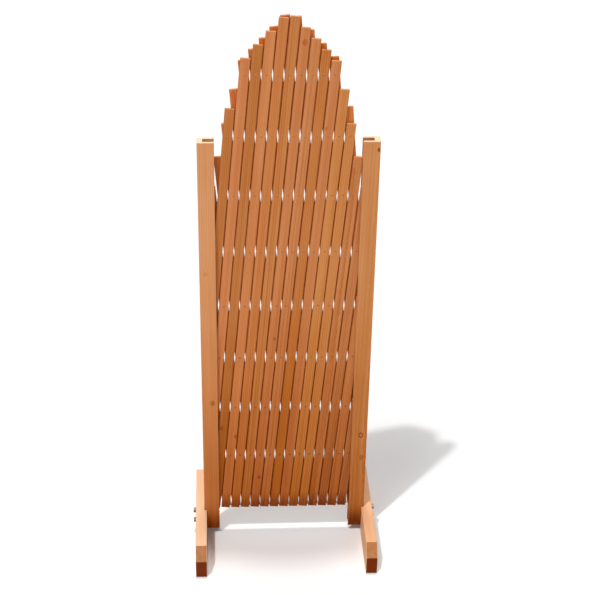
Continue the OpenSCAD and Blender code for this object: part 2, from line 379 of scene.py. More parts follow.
def growth_rings(tree, board, along, number, chances, push):
    """Rings round a pith beside the board. The result is 1 in the dark late wood of each ring."""
    pith = add_node(tree, "ShaderNodeCombineXYZ", {
        0: map_range(tree, chances[0], (-PITH_SPREAD, PITH_SPREAD)),
        1: math_node(tree, "MULTIPLY_ADD", chances[1], PITH_DEPTH[1], PITH_DEPTH[0]),
    }).outputs[0]
    drift = map_range(tree, chances[2], (-RUN_OUT, RUN_OUT))
    aside = minus(tree, times(tree, along, drift), push)
    aside = add_node(tree, "ShaderNodeCombineXYZ", {0: aside}).outputs[0]
    bends = stretched_noise(tree, board, number, SLOW_BENDS, detail=2.0)[1]
    bends = vector_node(tree, "SUBTRACT", bends, (0.5, 0.5, 0.5))
    bends = vector_node(tree, "MULTIPLY", bends, (GRAIN_WARP, GRAIN_WARP, 0.0))
    point = vector_node(tree, "ADD", vector_node(tree, "SUBTRACT", board, pith), aside)
    point = vector_node(tree, "ADD", point, bends)
    wave = add_node(tree, "ShaderNodeTexWave", {
        "Vector": point, "Scale": math.tau / (WAVE_FACTOR * RING_SPACING), "Distortion": RING_WAVER,
        "Detail": 1.0, "Detail Scale": RING_WAVER_SCALE,
    }, wave_type="RINGS", rings_direction="Z", wave_profile="SAW")
    return math_node(tree, "POWER", wave.outputs["Fac"], LATE_WOOD_POWER)


# %% [markdown]
# Now the patterns of one board are gathered. Its own attributes say where a point lies on it. Object
# coordinates say where the point lies in the screen, for the slow clouds that run over several boards and
# for its height above the floor.

# %% The patterns of one board
CLOUD_SCALE = 7.0                # noise cells per metre


def board_patterns(tree, knots):
    """All that a board's stain depends on, by name."""
    board = attribute(tree, "board", "Vector")
    number = attribute(tree, "board_number", "Fac")
    end_grain = attribute(tree, "end_grain", "Fac")
    across, _, along = add_node(tree, "ShaderNodeSeparateXYZ", {0: board}).outputs
    chance = add_node(tree, "ShaderNodeTexWhiteNoise", {"W": number}, noise_dimensions="1D").outputs
    chances = add_node(tree, "ShaderNodeSeparateColor", {0: chance["Color"]}).outputs
    knot, push = (placed_knots(tree, across, along, number, knots) if knots
                  else scattered_knots(tree, across, along, number))
    rings = growth_rings(tree, board, along, number, chances, push)
    fibres = stretched_noise(tree, board, number, FIBRES, detail=2.0)[0]
    streaks = stretched_noise(tree, board, number, STREAKS, detail=1.0)[0]
    place = add_node(tree, "ShaderNodeTexCoord").outputs["Object"]
    clouds = noise(tree, place, CLOUD_SCALE, detail=2.0)[0]
    height = add_node(tree, "ShaderNodeSeparateXYZ", {0: place}).outputs[2]
    return dict(along=along, end_grain=end_grain, chance=chance["Value"], chances=chances, knot=knot,
                rings=rings, fibres=fibres, streaks=streaks, clouds=clouds, height=height)


# %% [markdown]
# Then they are added up. Besides the grain, a board is darker in the last few centimetres above a lower end
# that stood in the dip, and over the lower part of the screen: partly stain that it drank there, partly
# painted shade that deepens towards the floor. Sawn ends go their own way: those of the feet drank the most
# stain, and the tops of the posts are paler, partly as painted light from above.
# Edges that hands and packing have rubbed are a little paler.

# %% How dark a board looks: stain, with some painted shade and painted light
GRAIN_SHARES = {"rings": (0.17, 0.33), "fibres": (0.16, 0.5), "streaks": (0.26, 0.5)}  # share, own middle
CLOUD_SHARE = 0.14
# Darker towards the floor: partly deeper stain, partly painted shade. The rivets darken along with it.
LOW_PART = (0.68, 0.03)          # metres above the floor where the stain starts to deepen and is deepest
END_GRAIN_POWER = 3.0            # keeps most of the end stain off a sloped cut


def centred(tree, value, share, middle=0.5):
    """A pattern's part in the stain: its distance from its own middle, times its share."""
    return times(tree, minus(tree, value, middle), share)


def stain_and_shade_depth(tree, given, wood):
    """How dark the board looks, 0 where palest and 1 where darkest: stain, with some painted shade and light.
    """
    # Darker towards the floor: partly deeper stain, partly painted shade.
    low = map_range(tree, wood["height"], (0.0, given["Low stain"]), LOW_PART, smooth=True)
    # Darker just above a board's lower end: partly stain drunk in the dip, partly painted shade.
    soak = map_range(tree, wood["along"], (0.0, given["Soak"]), (given["Soak length"], 0.0), smooth=True)
    grain = total(tree, *[centred(tree, wood[pattern], share, middle)
                          for pattern, (share, middle) in GRAIN_SHARES.items()])
    return total(
        tree, given["Stain"], low, soak, wood["knot"], times(tree, grain, given["Grain"]),
        centred(tree, wood["clouds"], CLOUD_SHARE),
        centred(tree, wood["chance"], given["Board spread"]),
        # Sawn ends: the feet's drank much more stain, and the post tops are paler, partly as painted light
        # from above.
        times(tree, math_node(tree, "POWER", wood["end_grain"], END_GRAIN_POWER), given["End stain"]),
        times(tree, attribute(tree, "worn_edge", "Fac"), times(tree, given["Worn"], -1.0)),
    )


# %% [markdown]
# A colour ramp gives the depth its colour. With the ramp alone all boards would share one brown, so each
# gets a hue, a strength and a lightness of its own. A rough sloped cut scatters the light and looks greyer.
# Faces between the two layers get a richer, redder colour: partly stain that stayed wet there for longer,
# partly painted shade, the warm colour that light takes on as it bounces between the laths.

# %% From depth to colour
HUE_SPREAD = (0.496, 0.504)      # 0.5 leaves a hue as it is
STRENGTH_SPREAD = (-0.045, 0.045)
LIGHT_SPREAD = (1.08, 0.92)      # by the same chance as the board spread: a deeper stain is darker too
SLOPE_GREYNESS = 0.65            # how much greyer a rough sloped cut looks than a planed side or a square end
SLOPE_YELLOWNESS = 0.05          # how far its hue turns towards yellow
SHELTERED_REDNESS = 0.1          # how far the hue of a sheltered face turns towards red


def stain_and_shade_colour(tree, given, wood, depth):
    """The colour of a depth of stain and painted shade on this board."""
    ramp = add_node(tree, "ShaderNodeValToRGB", {0: depth})
    while len(ramp.color_ramp.elements) < len(STAIN_STOPS):
        ramp.color_ramp.elements.new(0.5)
    for stop, (position, colour) in zip(ramp.color_ramp.elements, STAIN_STOPS):
        stop.position, stop.color = position, colour
    # Painted shade, in part: a sheltered face is made richer and redder, as light bounced between laths would
    # make it.
    hidden = times(tree, attribute(tree, "sheltered", "Fac"), given["Sheltered"])
    hue = map_range(tree, wood["chances"][1], HUE_SPREAD)
    sloped = times(tree, wood["end_grain"], minus(tree, 1.0, wood["end_grain"]))
    hue = total(tree, hue, times(tree, hidden, -SHELTERED_REDNESS), times(tree, sloped, SLOPE_YELLOWNESS))
    strength = map_range(tree, wood["chances"][2], STRENGTH_SPREAD)
    light = map_range(tree, wood["chances"][0], LIGHT_SPREAD)
    strength = total(tree, given["Richness"], strength, times(tree, sloped, -SLOPE_GREYNESS), hidden)
    return add_node(tree, "ShaderNodeHueSaturation", {
        "Hue": hue, "Saturation": strength, "Value": light, "Color": ramp.outputs[0]}).outputs[0]


# %% [markdown]
# All of it goes into a node group, because a finish then needs only its own few numbers, and a change to
# the group reaches every board. The fibres also make the surface rougher in places, and give it its relief.

# %% The stain group
STAIN_NUMBERS = ("Stain", "Grain", "Board spread", "End stain", "Low stain", "Soak", "Soak length",
                 "Sheltered", "Worn", "Richness")
NOISE_LIMITS = (0.3, 0.7)        # nearly all of a noise pattern lies between these
WOOD_ROUGHNESS = (0.46, 0.6)
RING_RELIEF = 0.5                # how high the rings stand, beside the fibres


def stain_group(name, knots=None):
    """A node group that gives a board's colour, roughness and relief."""
    tree = bpy.data.node_groups.new(name, "ShaderNodeTree")
    for number in STAIN_NUMBERS:
        tree.interface.new_socket(number, in_out="INPUT", socket_type="NodeSocketFloat")
    for result, kind in (("Color", "NodeSocketColor"), ("Roughness", "NodeSocketFloat"),
                         ("Relief", "NodeSocketFloat")):
        tree.interface.new_socket(result, in_out="OUTPUT", socket_type=kind)
    given = tree.nodes.new("NodeGroupInput").outputs
    wood = board_patterns(tree, knots)
    colour = stain_and_shade_colour(tree, given, wood, stain_and_shade_depth(tree, given, wood))
    rough = map_range(tree, wood["fibres"], WOOD_ROUGHNESS, NOISE_LIMITS)
    relief = math_node(tree, "MULTIPLY_ADD", wood["rings"], RING_RELIEF, wood["fibres"])
    result = tree.nodes.new("NodeGroupOutput").inputs
    for socket, value in (("Color", colour), ("Roughness", rough), ("Relief", relief)):
        tree.links.new(value, result[socket])
    return tree


# %% [markdown]
# A finish is a material that uses the group with its own numbers. Its shader takes the colour and the
# roughness as they come, and the relief through a Bump node, because real relief this fine would need
# millions of faces. What is the same all over, such as the sheen, is set on the shader itself.

# %% A finish from a group
WOOD_RELIEF = 0.00012            # metres from a fibre's valley to its top


def new_finish(name):
    """A material, and its tree with a shader in it."""
    finish = bpy.data.materials.new(name)
    finish.use_nodes = True
    return finish, finish.node_tree


def cover(tree, colour, roughness, relief, height, strength=1.0):
    """Gives a tree's shader its colour, roughness and relief, and returns the shader's inputs."""
    bump = add_node(tree, "ShaderNodeBump", {"Strength": strength, "Distance": height, "Height": relief})
    shader = tree.nodes["Principled BSDF"].inputs
    for socket, value in (("Base Color", colour), ("Roughness", roughness), ("Normal", bump.outputs[0])):
        tree.links.new(value, shader[socket])
    return shader


def wood_finish(name, group, sheen, **numbers):
    """Stained wood. The sheen is its specular level, and the numbers go to the group's own inputs."""
    finish, tree = new_finish(name)
    wood = add_node(tree, "ShaderNodeGroup", node_tree=group)
    for number, value in numbers.items():
        wood.inputs[number.replace("_", " ").capitalize()].default_value = value
    look = wood.outputs
    shader = cover(tree, look["Color"], look["Roughness"], look["Relief"], WOOD_RELIEF)
    shader["Specular IOR Level"].default_value = sheen
    return finish


# %% [markdown]
# The laths took the stain evenly, the posts are a touch paler, and the feet paler still on their planed
# tops but very dark at their sawn ends. Posts and feet share one group, in which each of the few knots names
# its board by its number.

# %% The wood finishes
LEFT_POST, RIGHT_POST, LEFT_FOOT, RIGHT_FOOT = 41, 42, 51, 52    # board numbers, which choose the grain
POST_KNOTS = (
    (RIGHT_POST, 0.013, 0.893, 0.0030, 0.45, 0.2),
    (RIGHT_POST, 0.003, 0.240, 0.0042, 0.04, 0.5),
    (RIGHT_POST, 0.006, 0.182, 0.0055, 0.14, 0.0),
    (LEFT_POST, 0.005, 0.327, 0.0055, 0.20, 0.0),
    (LEFT_POST, -0.004, 0.631, 0.0045, 0.12, 0.0),
)

lath_pine = stain_group("lath pine")
post_pine = stain_group("post pine", POST_KNOTS)
lath_finish = wood_finish("stained_lath", lath_pine, sheen=0.12, stain=0.53, grain=0.9, board_spread=0.08,
                          end_stain=-0.1, low_stain=0.24, soak=0.2, soak_length=0.045, sheltered=0.07,
                          worn=0.06, richness=1.02)
POST_WOOD = dict(sheen=0.12, grain=0.65, board_spread=0.0, soak_length=0.06, sheltered=0.0, worn=0.08)
FOOT_WOOD = dict(sheen=0.05, grain=0.6, board_spread=0.0, low_stain=0.0, soak=0.0, soak_length=0.01,
                 sheltered=0.0, worn=0.06, richness=1.0)
# The posts' negative end numbers make their tops paler, partly as painted light from above.
post_finishes = {
    "left": wood_finish("stained_left_post", post_pine, stain=0.37, end_stain=-0.43, low_stain=0.31, soak=0.3,
                        richness=1.04, **POST_WOOD),
    "right": wood_finish("stained_right_post", post_pine, stain=0.47, end_stain=-0.5, low_stain=0.24,
                         soak=0.35, richness=1.05, **POST_WOOD),
}
foot_finishes = {
    "left": wood_finish("stained_left_foot", post_pine, stain=0.18, end_stain=1.98, **FOOT_WOOD),
    "right": wood_finish("stained_right_foot", post_pine, stain=0.21, end_stain=1.7, **FOOT_WOOD),
}
wood_finishes = (lath_finish, *post_finishes.values(), *foot_finishes.values())
print("wood finishes:", [finish.name for finish in wood_finishes])

# %% [markdown]
# ## Metal
# The rivets are soft metal with a dull brown tone that hardly shows on the stained wood. The screws and
# pins are plated steel. Metal that has been handled is never even, so a fine noise makes it rougher in
# places, and a finer one gives it the faint texture that plating has.

# %% The metal finishes
PATCH_SCALE = 500.0              # noise cells per metre
PATCH_STOPS = (0.35, 0.65)       # where in the noise the shade ends and the full colour starts
METAL_RELIEF = 0.00004           # metres
METAL_RELIEF_STRENGTH = 0.6


def metal_finish(name, colour, shade, smooth, rough, grain, low_loss=0.0):
    """Metal that varies from colour to shade, and from smooth to rough, over patches of about 2 mm.

    The grain is the number of specks in a metre. Metal that was dipped with the wood may lose a share of its
    light towards the floor, as the wood darkens there: partly stain over it, partly painted shade.
    """
    finish, tree = new_finish(name)
    place = add_node(tree, "ShaderNodeTexCoord").outputs["Object"]
    patches = noise(tree, place, PATCH_SCALE, detail=3.0)[0]
    specks = noise(tree, place, grain, detail=1.0)[0]
    tone = add_node(tree, "ShaderNodeValToRGB", {0: patches})
    for stop, position, look in zip(tone.color_ramp.elements, PATCH_STOPS, (shade, colour)):
        stop.position, stop.color = position, look
    height = add_node(tree, "ShaderNodeSeparateXYZ", {0: place}).outputs[2]
    kept = map_range(tree, height, (1.0, 1.0 - low_loss), LOW_PART, smooth=True)
    toned = add_node(tree, "ShaderNodeHueSaturation", {"Value": kept, "Color": tone.outputs[0]}).outputs[0]
    roughness = map_range(tree, patches, (rough, smooth), NOISE_LIMITS)
    shader = cover(tree, toned, roughness, specks, METAL_RELIEF, METAL_RELIEF_STRENGTH)
    shader["Metallic"].default_value = 1.0
    return finish


# The rivets darken towards the floor along with the wood: partly stain, partly painted shade.
rivet_finish = metal_finish("rivet_bronze", from_srgb(192, 122, 72), from_srgb(164, 100, 54),
                            smooth=0.42, rough=0.6, grain=2600.0, low_loss=0.55)
screw_finish = metal_finish("plated_screw", from_srgb(126, 119, 110), from_srgb(98, 92, 84),
                            smooth=0.45, rough=0.6, grain=3000.0)
pin_finish = metal_finish("plated_pin", from_srgb(186, 180, 170), from_srgb(152, 146, 138),
                          smooth=0.3, rough=0.45, grain=3000.0)
sleeve_finish = metal_finish("dull_sleeve", from_srgb(120, 116, 110), from_srgb(84, 80, 76),
                             smooth=0.42, rough=0.6, grain=2200.0)
print("metal finishes:", [finish.name for finish in (rivet_finish, screw_finish, pin_finish, sleeve_finish)])

# %% [markdown]
# ## A tree that saws a board
# A lath and a post are the same idea: a flat outline pushed through a thickness. Geometry Nodes can do that
# for all of them, with the thickness, the direction and the finish as named inputs. No two saw cuts are
# quite alike, so the tree also shortens each corner by a small random amount along the board, and makes the
# whole board a hair wider or narrower.

# %% Building blocks of a Geometry Nodes tree
SOCKET_KINDS = {float: "NodeSocketFloat", int: "NodeSocketInt", Vector: "NodeSocketVector",
                bpy.types.Material: "NodeSocketMaterial"}
WELD = 0.000002                  # metres within which two points become one


def new_tree(name, sizes):
    """A tree that takes a mesh, the named sizes and a finish, and gives a mesh."""
    tree = bpy.data.node_groups.new(name, "GeometryNodeTree")
    tree.interface.new_socket("Geometry", in_out="INPUT", socket_type="NodeSocketGeometry")
    for size, kind in {**sizes, "Finish": bpy.types.Material}.items():
        tree.interface.new_socket(size, in_out="INPUT", socket_type=SOCKET_KINDS[kind])
    tree.interface.new_socket("Geometry", in_out="OUTPUT", socket_type="NodeSocketGeometry")
    return tree, tree.nodes.new("NodeGroupInput").outputs


def end_tree(tree, geometry, given):
    """Ends a tree: real faces instead of copies, and the finish on them."""
    real = add_node(tree, "GeometryNodeRealizeInstances", {0: geometry})
    dressed = add_node(tree, "GeometryNodeSetMaterial", {
        "Geometry": real.outputs[0], "Material": given["Finish"]})
    tree.links.new(dressed.outputs[0], tree.nodes.new("NodeGroupOutput").inputs[0])
    return tree


def join(tree, *parts):
    """Several geometries as one."""
    joined = tree.nodes.new("GeometryNodeJoinGeometry")
    for part in parts:
        tree.links.new(part, joined.inputs[0])
    return joined.outputs[0]


def weld(tree, geometry):
    """Joins the points that fall together."""
    return add_node(tree, "GeometryNodeMergeByDistance", {"Geometry": geometry, "Distance": WELD}).outputs[0]


def use_tree(piece, tree, **values):
    """Puts a tree on a piece. Its inputs are set by their identifiers, before anything is evaluated."""
    modifier = piece.modifiers.new(tree.name, "NODES")
    modifier.node_group = tree
    for socket in tree.interface.items_tree:
        key = socket.name.lower().replace(" ", "_")
        if socket.in_out == "INPUT" and key in values:
            modifier[socket.identifier] = values.pop(key)
    assert not values, values


# %% [markdown]
# The tree moves the outline's corners first: each towards the board's middle along its length, and all of
# them by one amount across it. Extrude Mesh then carries the face away to the far side, so a flipped copy
# of the outline closes the near side, and the two are welded.

# %% The sawing tree
LEAST, MOST, ID, SEED, FLOAT = 2, 3, 7, 8, 1     # float sockets of Random Value, which repeats their names


def sawing_tree():
    """Saws a board from its flat outline."""
    tree, given = new_tree("sawn board", {"Thickness": float, "Direction": Vector, "Lengthwise": Vector,
                                          "Saw play": float, "Width play": float, "Seed": int})

    def moved(direction, distance):
        """An offset along a direction, towards the board's middle."""
        position = tree.nodes.new("GeometryNodeInputPosition").outputs[0]
        place = add_node(tree, "ShaderNodeVectorMath", {0: position, 1: direction},
                         operation="DOT_PRODUCT").outputs["Value"]
        middle = add_node(tree, "GeometryNodeAttributeStatistic", {
            "Geometry": given["Geometry"], "Attribute": place}).outputs["Mean"]
        inwards = math_node(tree, "SIGN", minus(tree, middle, place))
        return add_node(tree, "ShaderNodeVectorMath", {0: direction, "Scale": times(tree, distance, inwards)},
                        operation="SCALE").outputs[0]

    saw_play = add_node(tree, "FunctionNodeRandomValue", {
        MOST: given["Saw play"], SEED: given["Seed"]}).outputs[FLOAT]
    whole_board = add_node(tree, "FunctionNodeInputInt", integer=1).outputs[0]
    width_play = add_node(tree, "FunctionNodeRandomValue", {
        LEAST: times(tree, given["Width play"], -1.0), MOST: given["Width play"],
        ID: whole_board, SEED: given["Seed"]}).outputs[FLOAT]
    sideways = vector_node(tree, "CROSS_PRODUCT", given["Direction"], given["Lengthwise"])
    play = vector_node(tree, "ADD", moved(given["Lengthwise"], saw_play), moved(sideways, width_play))
    outline = add_node(tree, "GeometryNodeSetPosition", {
        "Geometry": given["Geometry"], "Offset": play}).outputs[0]
    pushed = add_node(tree, "GeometryNodeExtrudeMesh", {
        "Mesh": outline, "Offset": given["Direction"], "Offset Scale": given["Thickness"],
        "Individual": False}).outputs[0]
    back = add_node(tree, "GeometryNodeFlipFaces", {0: outline}).outputs[0]
    return end_tree(tree, weld(tree, join(tree, back, pushed)), given)


SAWN_BOARD = sawing_tree()
print("inputs of the sawing tree:", [s.name for s in SAWN_BOARD.interface.items_tree if s.in_out == "INPUT"])

# %% [markdown]
# ## The laths
# Each lath is sawn from strip 18 by 5 mm, and its long edges are only just eased. The laths that end in a
# post's groove have one corner cut off so that they can turn there. The outline comes from the imported
# model, the tree above gives it its thickness, and a Bevel modifier eases the edges.

# %% Sawing the laths
LATH_EASE = 0.0007               # metres taken off an edge by sanding
LATH_SAW_PLAY = 0.0006           # most that a corner falls short of its place
LATH_WIDTH_PLAY = 0.0003         # two neighbours still clear each other when the lattice is folded
EASED_ABOVE = math.radians(30)
BACKWARDS = (0.0, 1.0, 0.0)


def ease_edges(piece, width, segments):
    """Rounds the edges of a board a little, where its faces meet at more than EASED_ABOVE."""
    bevel = piece.modifiers.new("eased edges", "BEVEL")
    bevel.width, bevel.segments = width, segments
    bevel.limit_method, bevel.angle_limit = "ANGLE", EASED_ABOVE


def make_lath(node, number):
    """One lath of the front or back layer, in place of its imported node."""
    side = 1 if node.startswith("front") else -1
    along = np.array((side * math.sin(lean), 0, math.cos(lean)))
    across = np.array((math.cos(lean), 0, -side * math.sin(lean)))
    points = points_of(node)
    front, back = points[:, 1].min(), points[:, 1].max()
    corners = corners_of(np.stack((points @ across, points @ along), 1))
    outline = [across * u + along * v + (0, front, 0) for u, v in reversed(corners)]
    lath = new_piece(node + "_wood", outline, [range(len(outline))])
    use_tree(lath, SAWN_BOARD, thickness=float(back - front), direction=BACKWARDS,
             lengthwise=tuple(along), saw_play=LATH_SAW_PLAY, width_play=LATH_WIDTH_PLAY, seed=number,
             finish=lath_finish)
    ease_edges(lath, LATH_EASE, segments=2)
    plain_mesh(lath)
    middle, low = np.mean(corners, 0)[0], min(v for _, v in corners)
    mark_board(lath, number, across * middle + along * low + (0, (front + back) / 2, 0), across, along,
               inwards=(0, side, 0))
    return lath


for number, node in enumerate(lath_nodes, 1):
    lath = make_lath(node, number)
    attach(lath, node.replace("_lath", ""))
    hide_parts(node)
print("last lath:", lath.name, len(lath.data.polygons), "faces")

# %% [markdown]
# ## A tree that turns small parts
# Rivets, pins and screw flanges are all turned: a short profile, swept round a circle. In the tree, Index
# Switch gives each point of a line its place on the profile, and Curve to Mesh sweeps the line. A point on
# the axis is swept into a pole, and Merge by Distance closes it.

# %% Turning a profile
PATH_RADIUS = 0.001              # the circle that a profile is swept round
DOME_ANGLES = (0, 35, 65, 90)    # degrees, where a domed head has its rings
RIVET_SIDES, ROUND_SIDES, HEXAGON = 14, 24, 6


def turned(tree, rows, sides, closed=False):
    """A part turned round the Z axis. Each row of the profile is a radius and a height."""
    line = add_node(tree, "GeometryNodeMeshLine", {"Count": len(rows)})
    pick = add_node(tree, "GeometryNodeIndexSwitch", data_type="VECTOR")
    while len(pick.index_switch_items) < len(rows):
        pick.index_switch_items.new()
    tree.links.new(tree.nodes.new("GeometryNodeInputIndex").outputs[0], pick.inputs[0])
    for item, (radius, height) in enumerate(rows, 1):
        point = add_node(tree, "ShaderNodeCombineXYZ", {0: radius, 1: height}).outputs[0]
        tree.links.new(point, pick.inputs[item])
    placed = add_node(tree, "GeometryNodeSetPosition", {
        "Geometry": line.outputs[0], "Position": pick.outputs[0]})
    profile = add_node(tree, "GeometryNodeMeshToCurve", {0: placed.outputs[0]})
    ring = add_node(tree, "GeometryNodeSetSplineCyclic", {"Geometry": profile.outputs[0], "Cyclic": closed})
    ready = add_node(tree, "GeometryNodeTransform", {
        "Geometry": ring.outputs[0], "Translation": (-PATH_RADIUS, 0, 0), "Scale": (1, -1, 1)})
    path = add_node(tree, "GeometryNodeCurvePrimitiveCircle", {"Resolution": sides, "Radius": PATH_RADIUS})
    swept = add_node(tree, "GeometryNodeCurveToMesh", {0: path.outputs[0], 1: ready.outputs[0]})
    return weld(tree, swept.outputs[0])


def dome(tree, radius, base, rise, outwards):
    """Rows of a low dome, from its crown to its rim. It stands on base and rises along outwards, 1 or -1."""
    rows = []
    for angle in DOME_ANGLES:
        lift = times(tree, rise, outwards * math.cos(math.radians(angle)))
        rows.append((times(tree, radius, math.sin(math.radians(angle))), total(tree, base, lift)))
    return rows


def stand_on_points(tree, given, part):
    """One copy of a part on each point, turned by the tree's own Turn input."""
    return add_node(tree, "GeometryNodeInstanceOnPoints", {"Points": given["Geometry"], "Instance": part,
                                                           "Rotation": given["Turn"]}).outputs[0]


# %% [markdown]
# ## Rivets and pins
# A rivet has a small closed tip on the front and a flat head behind the back lath. A pin is the same kind
# of part, longer and with a flat tip that stays inside the post. One tree makes both: only its sizes
# differ.

# %% The rivet tree
def rivet_tree():
    """A shank from front to back, with a domed tip and a domed head."""
    tree, given = new_tree("riveted pin", {
        "Turn": Vector, "Shank radius": float, "Front": float, "Back": float,
        "Tip radius": float, "Tip rise": float, "Head radius": float, "Head rise": float})
    tip = dome(tree, given["Tip radius"], given["Front"], given["Tip rise"], -1)
    head = dome(tree, given["Head radius"], given["Back"], given["Head rise"], 1)
    shank = [(given["Shank radius"], given["Front"]), (given["Shank radius"], given["Back"])]
    part = turned(tree, tip + shank + head[::-1], RIVET_SIDES)
    return end_tree(tree, stand_on_points(tree, given, part), given)


RIVET_TREE = rivet_tree()
ALONG_Y = (math.radians(-90), 0.0, 0.0)      # turns a part's axis from Z to Y
print("nodes in the rivet tree:", len(RIVET_TREE.nodes))

# %% [markdown]
# The rivets of a front lath move with it, so they are one piece for each lath. A rivet's shank fills its
# hole, and its tip and head lie on the laths, so their places along Y come from the laths' own faces.

# %% Setting the rivets
RIVET = dict(shank_radius=0.0015, tip_radius=0.0022, tip_rise=0.0005, head_radius=0.003, head_rise=0.0007)
front_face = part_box("front_lath_05")[0].y
back_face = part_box("back_lath_05")[1].y
HEAD_PLAY = 0.0001               # keeps a head's rim clear of the lath's back

for node in rivet_nodes:
    places = [Vector((place.x, 0, place.z)) for place in places_of(node, RIVET_APART)]
    rivets = new_piece(node + "_metal", places)
    use_tree(rivets, RIVET_TREE, turn=ALONG_Y, front=front_face, back=back_face + HEAD_PLAY,
             finish=rivet_finish, **RIVET)
    plain_mesh(rivets)
    round_shading(rivets)
    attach(rivets, node.replace("rivets", "front"))
    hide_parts(node)
print("rivets of one lath:", rivets.name, len(places), "rivets,", len(rivets.data.polygons), "faces")

# %% [markdown]
# The pins at the bottom carry the lattice. Each is pushed in from the back of its post, crosses the groove
# and one lath, and stops in the front wall, so only its head shows. The other layer has no lath there, and
# a sleeve fills its place, so that the lath can't slide along the pin.

# %% Pins and their sleeves
PIN = dict(shank_radius=0.0025, tip_radius=0.0025, tip_rise=0.0, head_radius=0.005, head_rise=0.002)
SLEEVE_RADIUS = 0.005
SLEEVE_BORE = 0.00255


def sleeve_tree():
    """A tube round a pin."""
    tree, given = new_tree("sleeve", {"Turn": Vector, "Radius": float, "Bore": float, "Length": float})
    low = times(tree, given["Length"], -0.5)
    high = times(tree, given["Length"], 0.5)
    rows = [(given["Bore"], low), (given["Radius"], low), (given["Radius"], high), (given["Bore"], high)]
    return end_tree(tree, stand_on_points(tree, given, turned(tree, rows, ROUND_SIDES, closed=True)), given)


SLEEVE_TREE = sleeve_tree()
for side in ("left", "right"):
    low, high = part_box(side + "_pin")
    pin = new_piece(side + "_pin_metal", [((low.x + high.x) / 2, 0, (low.z + high.z) / 2)])
    use_tree(pin, RIVET_TREE, turn=ALONG_Y, front=low.y, back=high.y - PIN["head_rise"],
             finish=pin_finish, **PIN)
    low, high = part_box(side + "_pin_sleeve")
    sleeve = new_piece(side + "_pin_sleeve_metal", [(low + high) / 2])
    use_tree(sleeve, SLEEVE_TREE, turn=ALONG_Y, radius=SLEEVE_RADIUS, bore=SLEEVE_BORE, length=high.y - low.y,
             finish=sleeve_finish)
    for piece, slot in ((pin, "pins"), (sleeve, "sleeves")):
        plain_mesh(piece)
        round_shading(piece)
        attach(piece, side + "_side")
        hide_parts(piece.name.replace("_metal", ""))
    print(pin.name, "and", sleeve.name, "at", [round(value, 4) for value in (low + high) / 2])

# %% [markdown]
# ## The posts
# A post is a planed batten with one deep groove, in which the lattice's edge slides. Seen from above it is
# a U on its side. That outline goes through the same sawing tree, this time upwards, and the edges are
# eased a little more than a lath's.

# %% Planing the posts
GROOVE_WIDTH = 0.0132
GROOVE_DEPTH = 0.021
POST_EASE = 0.0012
UPWARDS = (0.0, 0.0, 1.0)


def grooved_outline(side, low, high, depth, half_width):
    """A block's outline from above, with a groove in the face that looks at the lattice."""
    outer, inner = (low.x, high.x) if side == "left" else (high.x, low.x)
    bottom = inner + math.copysign(depth, outer - inner)
    corners = [(inner, low.y), (outer, low.y), (outer, high.y), (inner, high.y),
               (inner, half_width), (bottom, half_width), (bottom, -half_width), (inner, -half_width)]
    return [(x, y, low.z) for x, y in corners]


def make_post(side, number):
    """The post on one side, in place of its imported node."""
    low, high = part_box(side + "_post")
    outline = grooved_outline(side, low, high, GROOVE_DEPTH, GROOVE_WIDTH / 2)
    post = new_piece(side + "_post_wood", outline, [range(len(outline))])
    use_tree(post, SAWN_BOARD, thickness=high.z - low.z, direction=UPWARDS, lengthwise=UPWARDS,
             saw_play=0.0, width_play=0.0, seed=number, finish=post_finishes[side])
    ease_edges(post, POST_EASE, segments=3)
    plain_mesh(post)
    mark_board(post, number, ((low.x + high.x) / 2, 0, low.z), (1, 0, 0), (0, 0, 1))
    return post


for side, number in (("left", LEFT_POST), ("right", RIGHT_POST)):
    post = make_post(side, number)
    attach(post, side + "_side")
    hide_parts(side + "_post")
    print(post.name, len(post.data.polygons), "faces")

# %% [markdown]
# ## The feet
# A foot is a block of the same wood. A shallow housing across its inner face takes the post, and a sloped
# cut takes off both upper ends. Its outline with the housing is drawn as the post's was, but raised in mesh
# code, because two sloped cuts follow, as a saw would make them.

# %% Cutting the feet
HOUSING_DEPTH = 0.005
HOUSING_PLAY = 0.0001
FOOT_SLOPE = 0.025               # height and length of the sloped cut
FOOT_EASE = 0.0014


def saw_off(block, point, outwards):
    """Cuts away all that lies outside a plane, and closes the cut."""
    whole = block.verts[:] + block.edges[:] + block.faces[:]
    cut = bmesh.ops.bisect_plane(block, geom=whole, plane_co=point, plane_no=outwards, clear_outer=True)
    edges = [part for part in cut["geom_cut"] if isinstance(part, bmesh.types.BMEdge)]
    bmesh.ops.contextual_create(block, geom=edges)


def make_foot(side, number):
    """The foot on one side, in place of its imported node."""
    low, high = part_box(side + "_foot")
    post_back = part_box(side + "_post")[1].y
    outline = grooved_outline(side, low, high, HOUSING_DEPTH, post_back + HOUSING_PLAY)
    foot = new_piece(side + "_foot_wood", outline, [range(len(outline))])
    block = bmesh.new()
    block.from_mesh(foot.data)
    raised = bmesh.ops.extrude_face_region(block, geom=block.faces[:])
    tops = [part for part in raised["geom"] if isinstance(part, bmesh.types.BMVert)]
    bmesh.ops.translate(block, verts=tops, vec=(0, 0, high.z - low.z))
    saw_off(block, (0, high.y, high.z - FOOT_SLOPE), (0, 1, 1))
    saw_off(block, (0, low.y, high.z - FOOT_SLOPE), (0, -1, 1))
    block.to_mesh(foot.data)
    block.free()
    foot.data.materials.append(foot_finishes[side])
    ease_edges(foot, FOOT_EASE, segments=3)
    plain_mesh(foot)
    mark_board(foot, number, ((low.x + high.x) / 2, 0, high.z / 2), (1, 0, 0), (0, 1, 0))
    return foot


